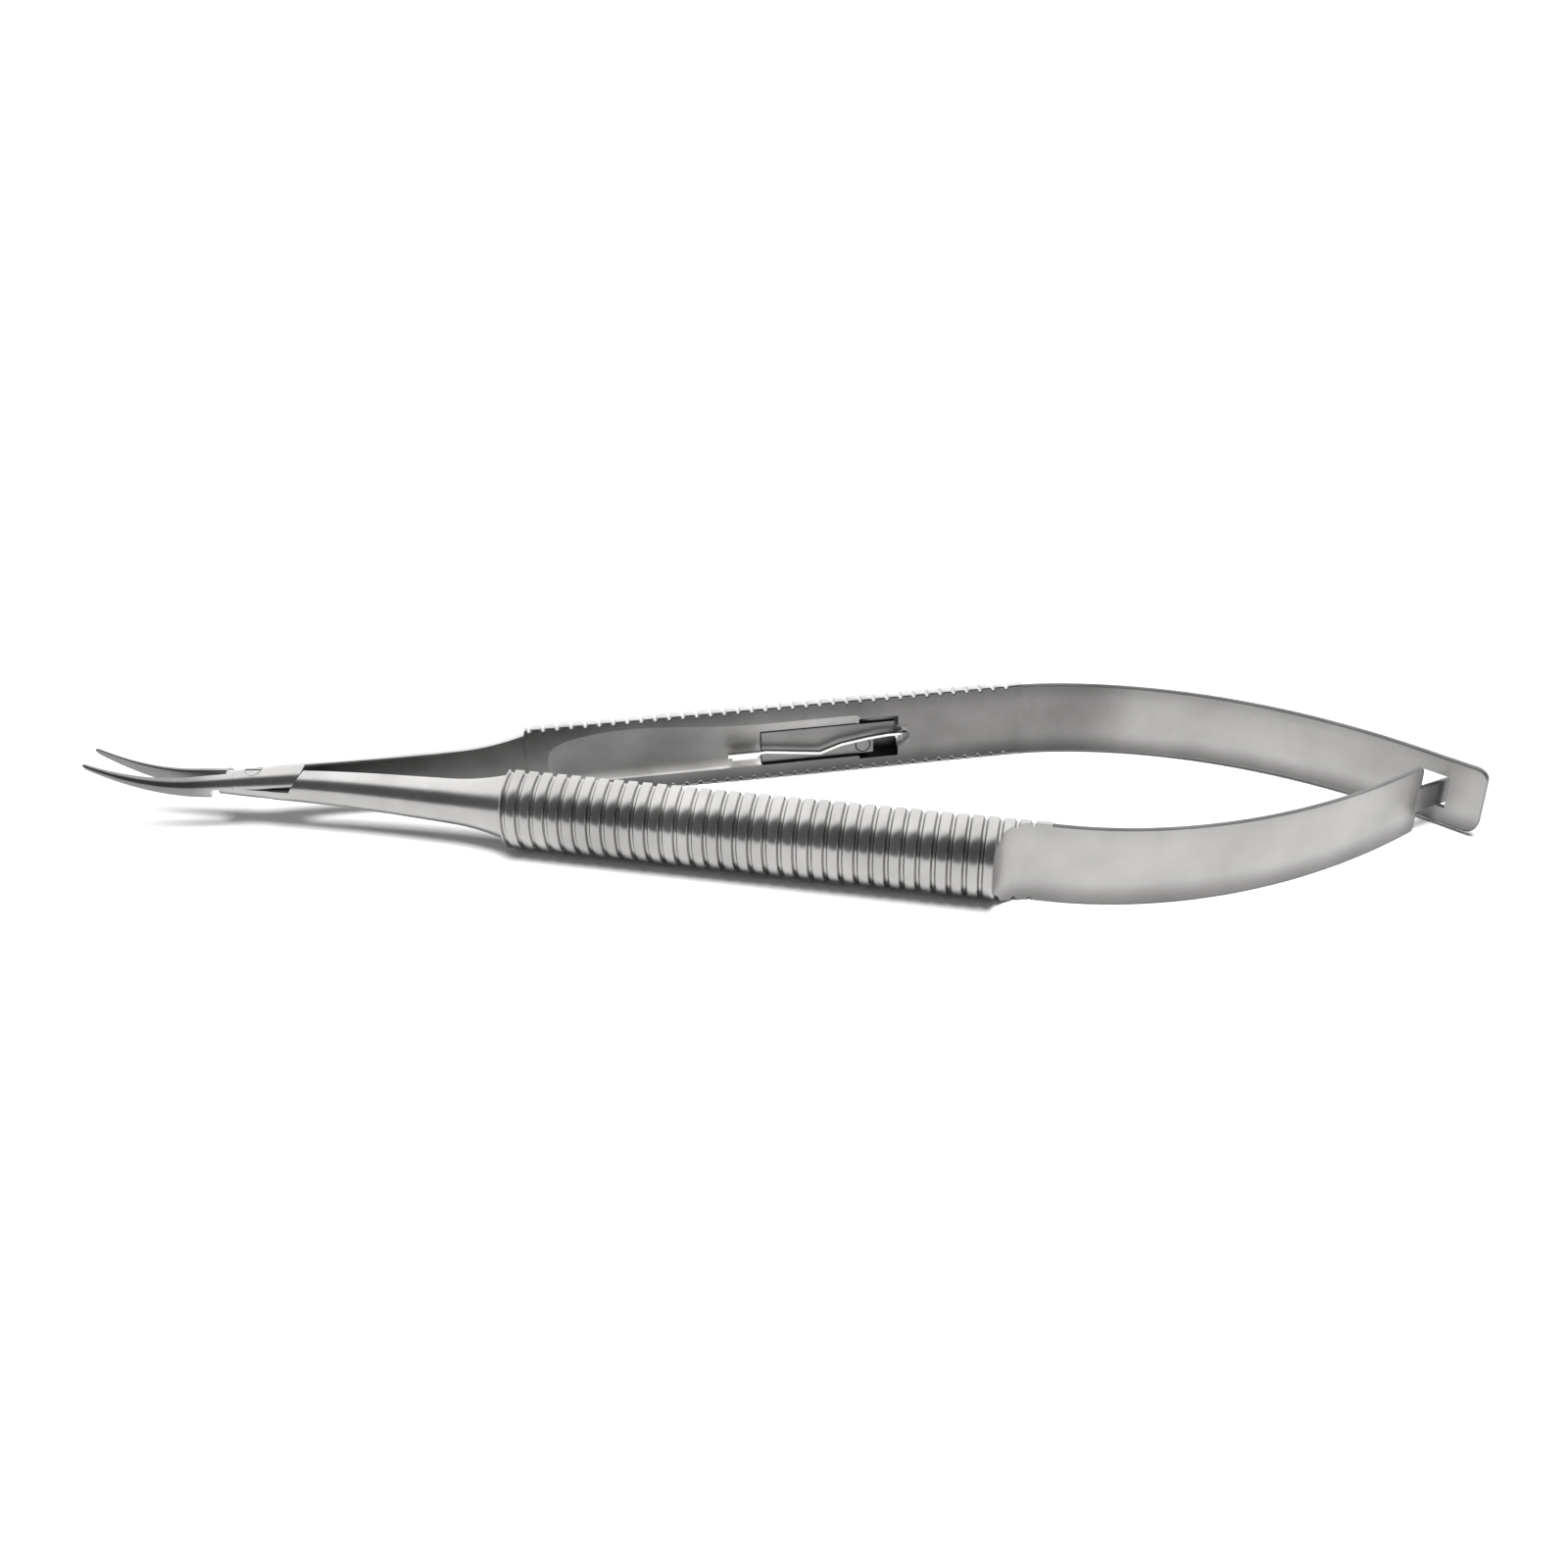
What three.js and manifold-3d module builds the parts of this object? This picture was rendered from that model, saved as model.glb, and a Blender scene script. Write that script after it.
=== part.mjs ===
// Spring-handled needle holder with curved jaws: two crossed arms that turn on a pivot screw, two bowed spring
// leaves joined tongue-in-window at the tail, and a catch inside the handles.
//
// Millimetres, +Z up. The instrument lies on its side on the plane Z = 0: jaws towards -X, spring tail towards +X,
// near arm towards -Y, far arm towards +Y. The origin is the middle of the bottom of its box at rest, jaws open.
//
// Each arm is modelled as it lies with the jaws shut, with the pivot at X = 0, Y = 0, and is then turned open.
// Positions on an arm are (s, off, z): s runs along the arm's flat inner face from the pivot towards the tail, off
// is the distance outwards from that face, and z is the height.

import * as THREE from 'three';
import { mergeVertices } from 'three/addons/utils/BufferGeometryUtils.js';
import Module from 'manifold-3d';

const wasm = await Module();
wasm.setup();

// Whole instrument
const PIVOT_X = -50.287; // pivot axis from the middle of the instrument
const OPEN_ANGLE = THREE.MathUtils.degToRad(5.4); // each arm, from jaws shut to rest
const NEAR = -1; // side of Y that an arm's handle is on
const FAR = 1;

// Jaws: half round, tapering, curved upwards
const JAW_LENGTH = 15.9;
const JAW_FLAT_GAP = 0.04; // each jaw's flat from the middle plane when shut
const JAW_TIP_RADIUS = 0.29;
const JAW_ROOT = 5.5; // the jaw's own taper and upward curve start here
const JAW_ROOT_RADIUS = 1.14;
const JAW_CURVE_RADIUS = 19.5;

// Lap joint
const JOINT_RADIUS = 1.47; // half of the round section at the pivot
const JOINT_HEIGHT = 4.38; // height of the middle of the joint and of the plane between the laps
const LAP_GAP = 0.08; // between the two laps
const BARREL_LENGTH = 5.4; // each way from the pivot
const BARREL_INSET = 0.02; // laps under the surface of the jaw and shank that they run into
const ENDS_IN_LAP = 1.9; // distance from the pivot to which jaw and shank reach into the lap
const TAIL_SHOULDER = { lap: 4.1, shoulder: 4.3, rise: 0.5 }; // radii about the pivot at the lap plane
const UPPER_JAW_SHOULDER = { lap: 2.6, shoulder: 2.85 };
const LOWER_JAW_SHOULDER = { lap: 3.6, shoulder: 4.3 };
const SCREW = { radius: 0.55, head: 0.8, headUnder: 5.05, clearance: 0.05 };

// Shanks and handles: half round, flat inside
const SHANK_FLAT_GAP = 0.12; // shank flats from the middle plane when shut
const SHANK_TAPER = 0.044; // growth of radius with distance
const SHANK_FLARE_START = 20;
const SHANK_FLARE = 0.0215; // growth of radius with distance squared, into the handle
const BEND_START = 4; // the flats bend apart from here
const BEND_END = 21.9;
const HANDLE_ANGLE = THREE.MathUtils.degToRad(5.818); // handle flats from the middle plane when shut
const HANDLE_RADIUS = 4;
const HANDLE_HEIGHT = 4; // height of the handle's axis
const SHANK_END = 26;
const COLLAR_BEVEL = 0.36; // length of the bevelled ring between the shank and the first groove
const RIB_START = 26.8;
const RIB_PITCH = 1.376;
const RIB_COUNT = 36;
const RIB_CREST = 0.9; // length of a rib's flat crest
const GROOVE_RADIUS = 3.68;
const HANDLE_END = RIB_START + RIB_COUNT * RIB_PITCH;
const ARC_STEPS = 10; // facets round a half section

// Milled step from the handle down to the thickness of the leaf
const LEAF_THICKNESS = 0.55;
const STEP_START = 71.65; // where the step leaves the round of the handle
const STEP_RADIUS = 3.4;

// Spring leaves
const LEAF_ROOT = HANDLE_END + 0.3;
const LEAF_STEPS = 22;
const TAIL_X = 112.75; // where the two leaves cross, from the pivot
const LEAF_HIGH = 7.85; // height of a leaf's upper edge at its root
const NEAR_LEAF = { // how firmly the curve leaves the handle and arrives at the tail, its angle and heights there
  rootReach: 8.1,
  tailReach: 21.65,
  tailAngle: THREE.MathUtils.degToRad(40.85),
  tailLow: 0,
  tailHigh: 6.8,
};
const FAR_LEAF = {
  rootReach: 3,
  tailReach: 23.8,
  tailAngle: THREE.MathUtils.degToRad(43.5),
  tailLow: 0.3,
  tailHigh: 7.1,
};
const FAR_TAIL = 4.7; // far leaf beyond the crossing
const SHOULDER_BACK = 2.9; // near leaf's shoulders before the crossing
const TONGUE = { low: 2.1, high: 4.7, rooted: 0.4, length: 5, angle: THREE.MathUtils.degToRad(29) };
const WINDOW = { low: 2.0, high: 5.25, before: 1.75, after: 1.4 };

// Catch: channel, block, spring strip and rivet on the far handle, hook on the near handle
const CHANNEL = { start: 28, full: 37, narrow: 49, roundOff: 58.9, end: 59.9, axisOff: -5.2, z: 3.25, low: 1.6 };
const CHANNEL_RADIUS = { wide: 6.05, narrow: 6, end: 5.4 };
const CHANNEL_RISE = { start: 36, height: 0.7 }; // the wide end lies higher on the handle
const POCKET = { start: 59.5, end: 63.5, low: 1.25, high: 5.75, depth: 2.1 };
const COUNTERBORE = { radius: 1.15, s: 63.62, z: 3.4, depth: 0.75 };
const BLOCK = { start: 49.5, end: 61, low: 1.7, high: 5, front: 0.42, back: 1, gap: 0.1 };
const BLOCK_ARM = { end: 63.2, low: 4.2 }; // runs on above the pocket
const PIN = { radius: 0.7, s: 59.95, z: 2.6, end: 2.75, gap: 0.12 };
const STRIP = { inner: -0.55, outer: -0.1, thickness: 0.26 };
const STRIP_PATH = [ // (s, z)
  [48.9, 3.22], [49.8, 3.3], [55.3, 2.6], [57.5, 3.35], [60.2, 3.76], [62.3, 3.95], [64.3, 3.93],
];
const NOSE = { start: 45.95, end: 49.2, low: 2.97, high: 3.37 };
const FOLD = { start: 46.4, end: 49, low: 2.55, high: 3.1, inner: -0.3, outer: 0.25 }; // below the nose
const TAB = { start: 63.3, end: 64.1, low: 3.1, inner: 0.3, outer: 0.55 };
const RIVET = { head: 0.27, headInner: 0.05, headOuter: 0.18, radius: 0.16, end: 2.9, s: 63.7, z: 3.43, gap: 0.08 };
const HOOK = {
  s: 47.4, width: 1.2, low: 1.95, high: 2.3, reach: 7.3, barb: 2.45, barbLength: 0.9, seat: 2, gap: 0.15,
};

const STEEL = new THREE.Color(0xb9b8b4);
const BRIGHT_STEEL = new THREE.Color(0xd4d4d2);

// ---- meshes and solids ----

function signedVolume(positions, triangles) {
  const [a, b, c] = [new THREE.Vector3(), new THREE.Vector3(), new THREE.Vector3()];
  let volume = 0;
  for (let i = 0; i < triangles.length; i += 3) {
    a.fromArray(positions, 3 * triangles[i]);
    b.fromArray(positions, 3 * triangles[i + 1]);
    c.fromArray(positions, 3 * triangles[i + 2]);
    volume += a.dot(b.cross(c)) / 6;
  }
  return volume;
}

function facingOut(positions, triangles) {
  if (signedVolume(positions, triangles) > 0) return triangles;
  return triangles.slice().reverse();
}

function solidOf(geometry) {
  const bare = geometry.clone();
  bare.deleteAttribute('normal');
  bare.deleteAttribute('uv');
  const merged = mergeVertices(bare, 1e-4);
  const vertProperties = new Float32Array(merged.attributes.position.array);
  const triVerts = new Uint32Array(facingOut(vertProperties, Array.from(merged.index.array)));
  return new wasm.Manifold(new wasm.Mesh({ numProp: 3, vertProperties, triVerts }));
}

function geometryOf(solid) {
  const { vertProperties, triVerts } = solid.getMesh();
  const geometry = new THREE.BufferGeometry();
  geometry.setAttribute('position', new THREE.BufferAttribute(new Float32Array(vertProperties), 3));
  geometry.setIndex(Array.from(triVerts));
  return geometry;
}

// A closed solid through a row of flat rings, each a loop of the same number of points.
function loft(rings) {
  const count = rings[0].length;
  const positions = rings.flat().flatMap((point) => point.toArray());
  const triangles = [];
  for (let ring = 0; ring + 1 < rings.length; ring += 1) {
    for (let i = 0; i < count; i += 1) {
      const next = (i + 1) % count;
      const [a, b] = [ring * count + i, ring * count + next];
      triangles.push(a, b, b + count, a, b + count, a + count);
    }
  }
  const last = (rings.length - 1) * count;
  for (let i = 1; i + 1 < count; i += 1) {
    triangles.push(0, i + 1, i, last, last + i, last + i + 1);
  }
  const geometry = new THREE.BufferGeometry();
  geometry.setAttribute('position', new THREE.BufferAttribute(new Float32Array(positions), 3));
  geometry.setIndex(triangles);
  return geometry;
}

function mesh(name, solid, color, roughness) {
  const material = new THREE.MeshStandardMaterial({ color, roughness, metalness: 1 });
  const part = new THREE.Mesh(geometryOf(solid), material);
  part.name = name;
  return part;
}

// ---- places on an arm ----

// Point of the arm's flat and its direction at distance s, jaws shut, handle on the side of +Y.
function flatLine(s) {
  const bendLength = BEND_END - BEND_START;
  const bendRadius = bendLength / HANDLE_ANGLE;
  const angle = THREE.MathUtils.clamp((s - BEND_START) / bendRadius, 0, HANDLE_ANGLE);
  const before = Math.min(s, BEND_START);
  const after = Math.max(s - BEND_END, 0);
  const x = before + bendRadius * Math.sin(angle) + after * Math.cos(angle);
  const y = bendRadius * (1 - Math.cos(angle)) + after * Math.sin(angle);
  return { x, y: SHANK_FLAT_GAP / 2 + y, angle };
}

function armPoint(side, s, off, z) {
  const { x, y, angle } = flatLine(s);
  return new THREE.Vector3(x - off * Math.sin(angle), side * (y + off * Math.cos(angle)), z);
}

// Carries a geometry made in (s, off, z) on to an arm.
function onArm(side, geometry) {
  const placed = geometry.clone();
  const position = placed.attributes.position;
  for (let i = 0; i < position.count; i += 1) {
    const point = armPoint(side, position.getX(i), position.getY(i), position.getZ(i));
    position.setXYZ(i, point.x, point.y, point.z);
  }
  return placed;
}

function boxOnArm(side, s, off, z) {
  const box = new THREE.BoxGeometry(s[1] - s[0], off[1] - off[0], z[1] - z[0]);
  box.translate((s[0] + s[1]) / 2, (off[0] + off[1]) / 2, (z[0] + z[1]) / 2);
  return solidOf(onArm(side, box));
}

// A round pin square to the arm's flat.
function pinOnArm(side, s, z, radius, off) {
  const pin = new THREE.CylinderGeometry(radius, radius, off[1] - off[0], 14);
  pin.translate(s, (off[0] + off[1]) / 2, z);
  return solidOf(onArm(side, pin));
}

// ---- arms ----

function jawRadius(back) {
  if (back < JAW_ROOT) return THREE.MathUtils.lerp(JOINT_RADIUS, JAW_ROOT_RADIUS, back / JAW_ROOT);
  const share = (back - JAW_ROOT) / (JAW_LENGTH - JAW_ROOT);
  return THREE.MathUtils.lerp(JAW_ROOT_RADIUS, JAW_TIP_RADIUS, share);
}

function jawHeight(back) {
  return JOINT_HEIGHT + Math.max(back - JAW_ROOT, 0) ** 2 / (2 * JAW_CURVE_RADIUS);
}

function shankRadius(s) {
  return JOINT_RADIUS + SHANK_TAPER * s + SHANK_FLARE * Math.max(s - SHANK_FLARE_START, 0) ** 2;
}

function axisHeight(s) {
  return THREE.MathUtils.lerp(JOINT_HEIGHT, HANDLE_HEIGHT, THREE.MathUtils.smoothstep(s, BEND_START, BEND_END));
}

function arcAngles() {
  return Array.from({ length: ARC_STEPS + 1 }, (_, i) => Math.PI * (i / ARC_STEPS - 0.5));
}

function jaw(side) {
  const stations = [JAW_LENGTH, 15.6, 14.5, 13, 11.5, 10, 8.5, 7, JAW_ROOT, ENDS_IN_LAP];
  const rings = stations.map((back) => {
    const radius = back === JAW_LENGTH ? JAW_TIP_RADIUS / 2 : jawRadius(back);
    return arcAngles().map((angle) => new THREE.Vector3(
      -back,
      -side * (JAW_FLAT_GAP + radius * Math.cos(angle)),
      jawHeight(back) + radius * Math.sin(angle),
    ));
  });
  return solidOf(loft(rings));
}

function halfSection(side, s, radius) {
  return arcAngles().map((angle) => (
    armPoint(side, s, radius * Math.cos(angle), axisHeight(s) + radius * Math.sin(angle))
  ));
}

function shankAndHandle(side) {
  const taper = [ENDS_IN_LAP, 4, 8, 12, 16, 19, 21, 22.5, 24, 25, SHANK_END];
  const rings = taper.map((s) => halfSection(side, s, shankRadius(s)));
  rings.push(halfSection(side, SHANK_END + COLLAR_BEVEL, HANDLE_RADIUS));
  for (let rib = 0; rib < RIB_COUNT; rib += 1) {
    const crest = RIB_START + rib * RIB_PITCH;
    rings.push(halfSection(side, crest - (RIB_PITCH - RIB_CREST) / 2, GROOVE_RADIUS));
    rings.push(halfSection(side, crest, HANDLE_RADIUS));
    rings.push(halfSection(side, crest + RIB_CREST, HANDLE_RADIUS));
  }
  return solidOf(loft(rings));
}

function barrel() {
  const rings = [-BARREL_LENGTH, -2.5, 0, 2.5, BARREL_LENGTH].map((x) => {
    const radius = (x < 0 ? jawRadius(-x) : shankRadius(x)) - BARREL_INSET;
    return Array.from({ length: 2 * ARC_STEPS }, (_, i) => {
      const angle = Math.PI * (i / ARC_STEPS - 0.5);
      return new THREE.Vector3(x, radius * Math.cos(angle), JOINT_HEIGHT + radius * Math.sin(angle));
    });
  });
  return solidOf(loft(rings));
}

// A disc about the pivot, going up or down from the lap, whose radius differs between the tail and jaw sides.
function shoulderCutter(size, start, upwards) {
  const height = 6;
  const disc = new THREE.CylinderGeometry(1, 1, height, 32);
  disc.rotateX(Math.PI / 2);
  disc.translate(0, 0, height / 2);
  const position = disc.attributes.position;
  for (let i = 0; i < position.count; i += 1) {
    const [x, y, z] = [position.getX(i), position.getY(i), position.getZ(i)];
    const tail = TAIL_SHOULDER[size] + (upwards ? TAIL_SHOULDER.rise * z : 0);
    const jawSide = (upwards ? UPPER_JAW_SHOULDER : LOWER_JAW_SHOULDER)[size];
    const spread = THREE.MathUtils.lerp(jawSide, tail, THREE.MathUtils.smoothstep(x, -0.4, 0.4));
    position.setXY(i, x * spread, y * spread);
  }
  if (!upwards) disc.scale(1, 1, -1);
  disc.translate(0, 0, start);
  return solidOf(disc);
}

// The far arm keeps the upper lap and the near arm the lower one.
function forging(side) {
  const isUpper = side === FAR;
  const face = JOINT_HEIGHT + (isUpper ? 1 : -1) * LAP_GAP / 2;
  const ends = jaw(side).add(shankAndHandle(side)).subtract(shoulderCutter('shoulder', face, !isUpper));
  const lap = barrel().intersect(shoulderCutter('lap', face, isUpper));
  return ends.add(lap).subtract(screwHole(side)).subtract(leafStep(side));
}

function upright(radius, low, high) {
  const post = new THREE.CylinderGeometry(radius, radius, high - low, 20);
  post.rotateX(Math.PI / 2);
  post.translate(0, 0, (low + high) / 2);
  return solidOf(post);
}

function screwHole(side) {
  const hole = upright(SCREW.radius + SCREW.clearance, 0, 9);
  if (side === NEAR) return hole;
  return hole.add(upright(SCREW.head + SCREW.clearance, SCREW.headUnder - SCREW.clearance, 9));
}

// The outside of the handle milled away down to the leaf, with a hollow run-out.
function leafStep(side) {
  const outline = new THREE.Shape();
  const floorStart = STEP_START + Math.sqrt(STEP_RADIUS ** 2 - (STEP_RADIUS + LEAF_THICKNESS - HANDLE_RADIUS) ** 2);
  const centreOff = LEAF_THICKNESS + STEP_RADIUS;
  const startAngle = Math.atan2(HANDLE_RADIUS - centreOff, STEP_START - floorStart);
  outline.absarc(floorStart, centreOff, STEP_RADIUS, startAngle, 1.5 * Math.PI - 2 * Math.PI, false);
  outline.lineTo(HANDLE_END + 1, LEAF_THICKNESS);
  outline.lineTo(HANDLE_END + 1, 2 * HANDLE_RADIUS);
  outline.lineTo(STEP_START, 2 * HANDLE_RADIUS);
  const cutter = new THREE.ExtrudeGeometry(outline, { depth: 10, bevelEnabled: false, curveSegments: 8 });
  cutter.translate(0, 0, -1);
  return solidOf(onArm(side, cutter));
}

function nearArm() {
  const slot = boxOnArm(
    NEAR,
    [HOOK.s - HOOK.width / 2 - HOOK.gap, HOOK.s + HOOK.width / 2 + HOOK.gap],
    [-1, HOOK.seat + HOOK.gap],
    [HOOK.low - HOOK.gap, HOOK.high + HOOK.gap],
  );
  return mesh('near_arm', forging(NEAR).subtract(slot), STEEL, 0.32);
}

// A round-bottomed channel above a level shelf. Its depth runs out towards the jaws, where it lies a little higher.
function channel() {
  const { start, full, narrow, roundOff, end, axisOff, z } = CHANNEL;
  const steps = 8;
  const profile = [new THREE.Vector2(0, start)];
  for (let i = 1; i <= steps; i += 1) {
    const share = i / steps;
    const radius = THREE.MathUtils.lerp(-axisOff, CHANNEL_RADIUS.wide, Math.sqrt(1 - (1 - share) ** 2));
    profile.push(new THREE.Vector2(radius, THREE.MathUtils.lerp(start, full, share)));
  }
  profile.push(
    new THREE.Vector2((CHANNEL_RADIUS.wide + CHANNEL_RADIUS.narrow) / 2, (full + narrow) / 2),
    new THREE.Vector2(CHANNEL_RADIUS.narrow, narrow),
    new THREE.Vector2(CHANNEL_RADIUS.narrow, roundOff),
    new THREE.Vector2(THREE.MathUtils.lerp(CHANNEL_RADIUS.narrow, CHANNEL_RADIUS.end, 0.3), end - 0.3),
    new THREE.Vector2(CHANNEL_RADIUS.end, end),
    new THREE.Vector2(0, end),
  );
  const cutter = new THREE.LatheGeometry(profile, 48);
  cutter.rotateZ(-Math.PI / 2);
  cutter.translate(0, axisOff, z);
  const position = cutter.attributes.position;
  for (let i = 0; i < position.count; i += 1) {
    const share = THREE.MathUtils.smoothstep(position.getX(i), CHANNEL_RISE.start, narrow);
    position.setZ(i, position.getZ(i) + CHANNEL_RISE.height * (1 - share));
  }
  return solidOf(onArm(FAR, cutter)).intersect(boxOnArm(FAR, [start - 1, end + 1], [-2, 2], [CHANNEL.low, 8]));
}

function farArm() {
  const cuts = [
    channel(),
    boxOnArm(
      FAR,
      [BLOCK.start - BLOCK.gap, POCKET.start + 1],
      [-1, BLOCK.back + BLOCK.gap],
      [BLOCK.low - BLOCK.gap, BLOCK.high + BLOCK.gap],
    ),
    boxOnArm(FAR, [POCKET.start, POCKET.end], [-1, POCKET.depth], [POCKET.low, POCKET.high]),
    pinOnArm(FAR, COUNTERBORE.s, COUNTERBORE.z, COUNTERBORE.radius, [-1, COUNTERBORE.depth]),
    pinOnArm(FAR, RIVET.s, RIVET.z, RIVET.radius + RIVET.gap, [0, RIVET.end + RIVET.gap]),
    pinOnArm(FAR, PIN.s, PIN.z, PIN.radius + PIN.gap, [0, PIN.end + PIN.gap]),
  ];
  const arm = cuts.reduce((solid, cut) => solid.subtract(cut), forging(FAR));
  return mesh('far_arm', arm, STEEL, 0.34);
}

function pivotScrew() {
  const screw = upright(SCREW.radius, 0, SCREW.headUnder).add(upright(SCREW.head, SCREW.headUnder, 9));
  const slot = new THREE.BoxGeometry(4 * SCREW.head, 0.28, 0.5);
  slot.translate(0, 0, JOINT_HEIGHT + JOINT_RADIUS);
  return mesh('pivot_screw', screw.intersect(barrel()).subtract(solidOf(slot)), BRIGHT_STEEL, 0.25);
}

// ---- spring leaves ----

// Direction of travel on the side of +Y with the arm shut, for an angle towards the other leaf at rest.
function heading(angle) {
  const turned = -angle - OPEN_ANGLE;
  return new THREE.Vector2(Math.cos(turned), Math.sin(turned));
}

// Middle line of a leaf on the side of +Y, as it lies with the arm shut: a curve, then a straight tail.
function leafLine(side) {
  const shape = side === NEAR ? NEAR_LEAF : FAR_LEAF;
  const root = armPoint(FAR, LEAF_ROOT, LEAF_THICKNESS / 2, 0);
  const crossing = new THREE.Vector2(TAIL_X, 0).rotateAround(new THREE.Vector2(), -OPEN_ANGLE);
  const start = new THREE.Vector2(root.x, root.y);
  const leaving = new THREE.Vector2(Math.cos(HANDLE_ANGLE), Math.sin(HANDLE_ANGLE));
  const arriving = heading(shape.tailAngle);
  const curve = new THREE.CubicBezierCurve(
    start,
    start.clone().addScaledVector(leaving, shape.rootReach),
    crossing.clone().addScaledVector(arriving, -shape.tailReach),
    crossing,
  );
  return { curve, arriving, length: curve.getLength(), side, shape };
}

// Point and outward normal at a distance along the leaf from its root.
function leafFrame(line, distance) {
  const past = Math.max(distance - line.length, 0);
  const share = Math.min(distance / line.length, 1);
  const point = line.curve.getPointAt(share).addScaledVector(line.arriving, past);
  const along = line.curve.getTangentAt(share);
  return { point, normal: new THREE.Vector2(-along.y, along.x) };
}

function leafHeights(line, distance) {
  const share = Math.min(distance / line.length, 1);
  const { tailLow, tailHigh } = line.shape;
  return [tailLow * share, THREE.MathUtils.lerp(LEAF_HIGH, tailHigh, share)];
}

// A strip of leaf between two distances, with its low and high edges given as a function of distance.
function leafStrip(line, distances, edges, growth = 0) {
  const rings = distances.map((distance) => {
    const { point, normal } = leafFrame(line, distance);
    const [low, high] = edges(distance);
    const half = LEAF_THICKNESS / 2 + growth;
    return [[-half, low], [half, low], [half, high], [-half, high]].map(([off, z]) => (
      new THREE.Vector3(point.x + off * normal.x, line.side * (point.y + off * normal.y), z)
    ));
  });
  return solidOf(loft(rings));
}

function between(start, end, steps) {
  return Array.from({ length: steps + 1 }, (_, i) => THREE.MathUtils.lerp(start, end, i / steps));
}

// The leaf ends in two shoulders, and its tongue runs on from them as a straight bar, turned a little outward.
function nearLeaf() {
  const line = leafLine(NEAR);
  const shoulder = line.length - SHOULDER_BACK;
  const body = leafStrip(line, between(0, shoulder, LEAF_STEPS), (d) => leafHeights(line, d));
  const root = leafFrame(line, shoulder - TONGUE.rooted).point;
  const arriving = heading(TONGUE.angle);
  const tip = root.clone().addScaledVector(arriving, TONGUE.length);
  const bar = { curve: new THREE.LineCurve(root, tip), arriving, length: TONGUE.length, side: NEAR };
  const tongue = leafStrip(bar, [0, TONGUE.length], () => [TONGUE.low, TONGUE.high]);
  return mesh('near_spring_leaf', body.add(tongue), STEEL, 0.42);
}

function farLeaf() {
  const line = leafLine(FAR);
  const run = between(0, line.length, LEAF_STEPS);
  const end = line.length + FAR_TAIL;
  const round = (d) => {
    const [low, high] = leafHeights(line, d);
    const inset = 1 - Math.sqrt(Math.max(1 - Math.max(d - end + 1, 0) ** 2, 0));
    return [low + 1.3 * inset, high - 0.9 * inset];
  };
  const body = leafStrip(line, run.concat([end - 1, end - 0.6, end - 0.3, end - 0.1, end]), round);
  const windowRun = [line.length - WINDOW.before, line.length, line.length + WINDOW.after];
  const window = leafStrip(line, windowRun, () => [WINDOW.low, WINDOW.high], 0.5);
  return mesh('far_spring_leaf', body.subtract(window), STEEL, 0.42);
}

// ---- catch ----

// A plate bedded in the channel, with an arm that runs on above the pocket.
function catchBlock() {
  const { start, end, low, high, front, back } = BLOCK;
  const block = boxOnArm(FAR, [start, end], [front, back], [low, high])
    .add(boxOnArm(FAR, [end - 1, BLOCK_ARM.end], [front, back], [BLOCK_ARM.low, high]))
    .subtract(pinOnArm(FAR, PIN.s, PIN.z, PIN.radius + PIN.gap, [-1, back + 1]));
  return mesh('catch_block', block, STEEL, 0.4);
}

function blockPin() {
  return mesh('catch_block_pin', pinOnArm(FAR, PIN.s, PIN.z, PIN.radius, [BLOCK.front, PIN.end]), STEEL, 0.4);
}

// A thin strip on edge to the flat, with a thick nose at its free end and a tab turned down at its root.
function catchSpring() {
  const { inner, outer, thickness } = STRIP;
  const rings = STRIP_PATH.map(([s, z]) => (
    [[inner, -1], [outer, -1], [outer, 1], [inner, 1]].map(([off, edge]) => (
      new THREE.Vector3(s, off, z + edge * thickness / 2)
    ))
  ));
  const top = STRIP_PATH.at(-1)[1];
  const hole = pinOnArm(FAR, RIVET.s, RIVET.z, RIVET.radius + RIVET.gap, [0, 1]);
  const tab = boxOnArm(FAR, [TAB.start, TAB.end], [TAB.inner, TAB.outer], [TAB.low, top]).subtract(hole);
  const spring = solidOf(onArm(FAR, loft(rings)))
    .add(boxOnArm(FAR, [NOSE.start, NOSE.end], [inner, outer], [NOSE.low, NOSE.high]))
    .add(boxOnArm(FAR, [FOLD.start, FOLD.end], [FOLD.inner, FOLD.outer], [FOLD.low, FOLD.high]))
    .add(boxOnArm(FAR, [TAB.start, TAB.end - 0.25], [outer - 0.2, TAB.outer], [top - 0.2, top]))
    .add(tab);
  return mesh('catch_spring', spring, BRIGHT_STEEL, 0.22);
}

function springRivet() {
  const head = pinOnArm(FAR, RIVET.s, RIVET.z, RIVET.head, [RIVET.headInner, RIVET.headOuter]);
  const shank = pinOnArm(FAR, RIVET.s, RIVET.z, RIVET.radius, [RIVET.headInner, RIVET.end]);
  return mesh('catch_spring_rivet', head.add(shank), STEEL, 0.35);
}

// A flat hook that stands out of the near handle, with its tooth on the upper side of its free end.
function catchHook() {
  const { s, width, low, high, reach, barb, barbLength, seat } = HOOK;
  const outline = new THREE.Shape();
  outline.moveTo(seat, low);
  outline.lineTo(seat, high);
  outline.lineTo(barbLength - reach, high);
  outline.lineTo(barbLength - reach, barb);
  outline.lineTo(-reach, high);
  outline.lineTo(-reach, low);
  const hook = new THREE.ExtrudeGeometry(outline, { depth: width, bevelEnabled: false });
  hook.rotateZ(Math.PI / 2);
  hook.rotateY(Math.PI / 2);
  hook.translate(s - width / 2, 0, 0);
  return mesh('catch_hook', solidOf(onArm(NEAR, hook)), STEEL, 0.38);
}

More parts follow.
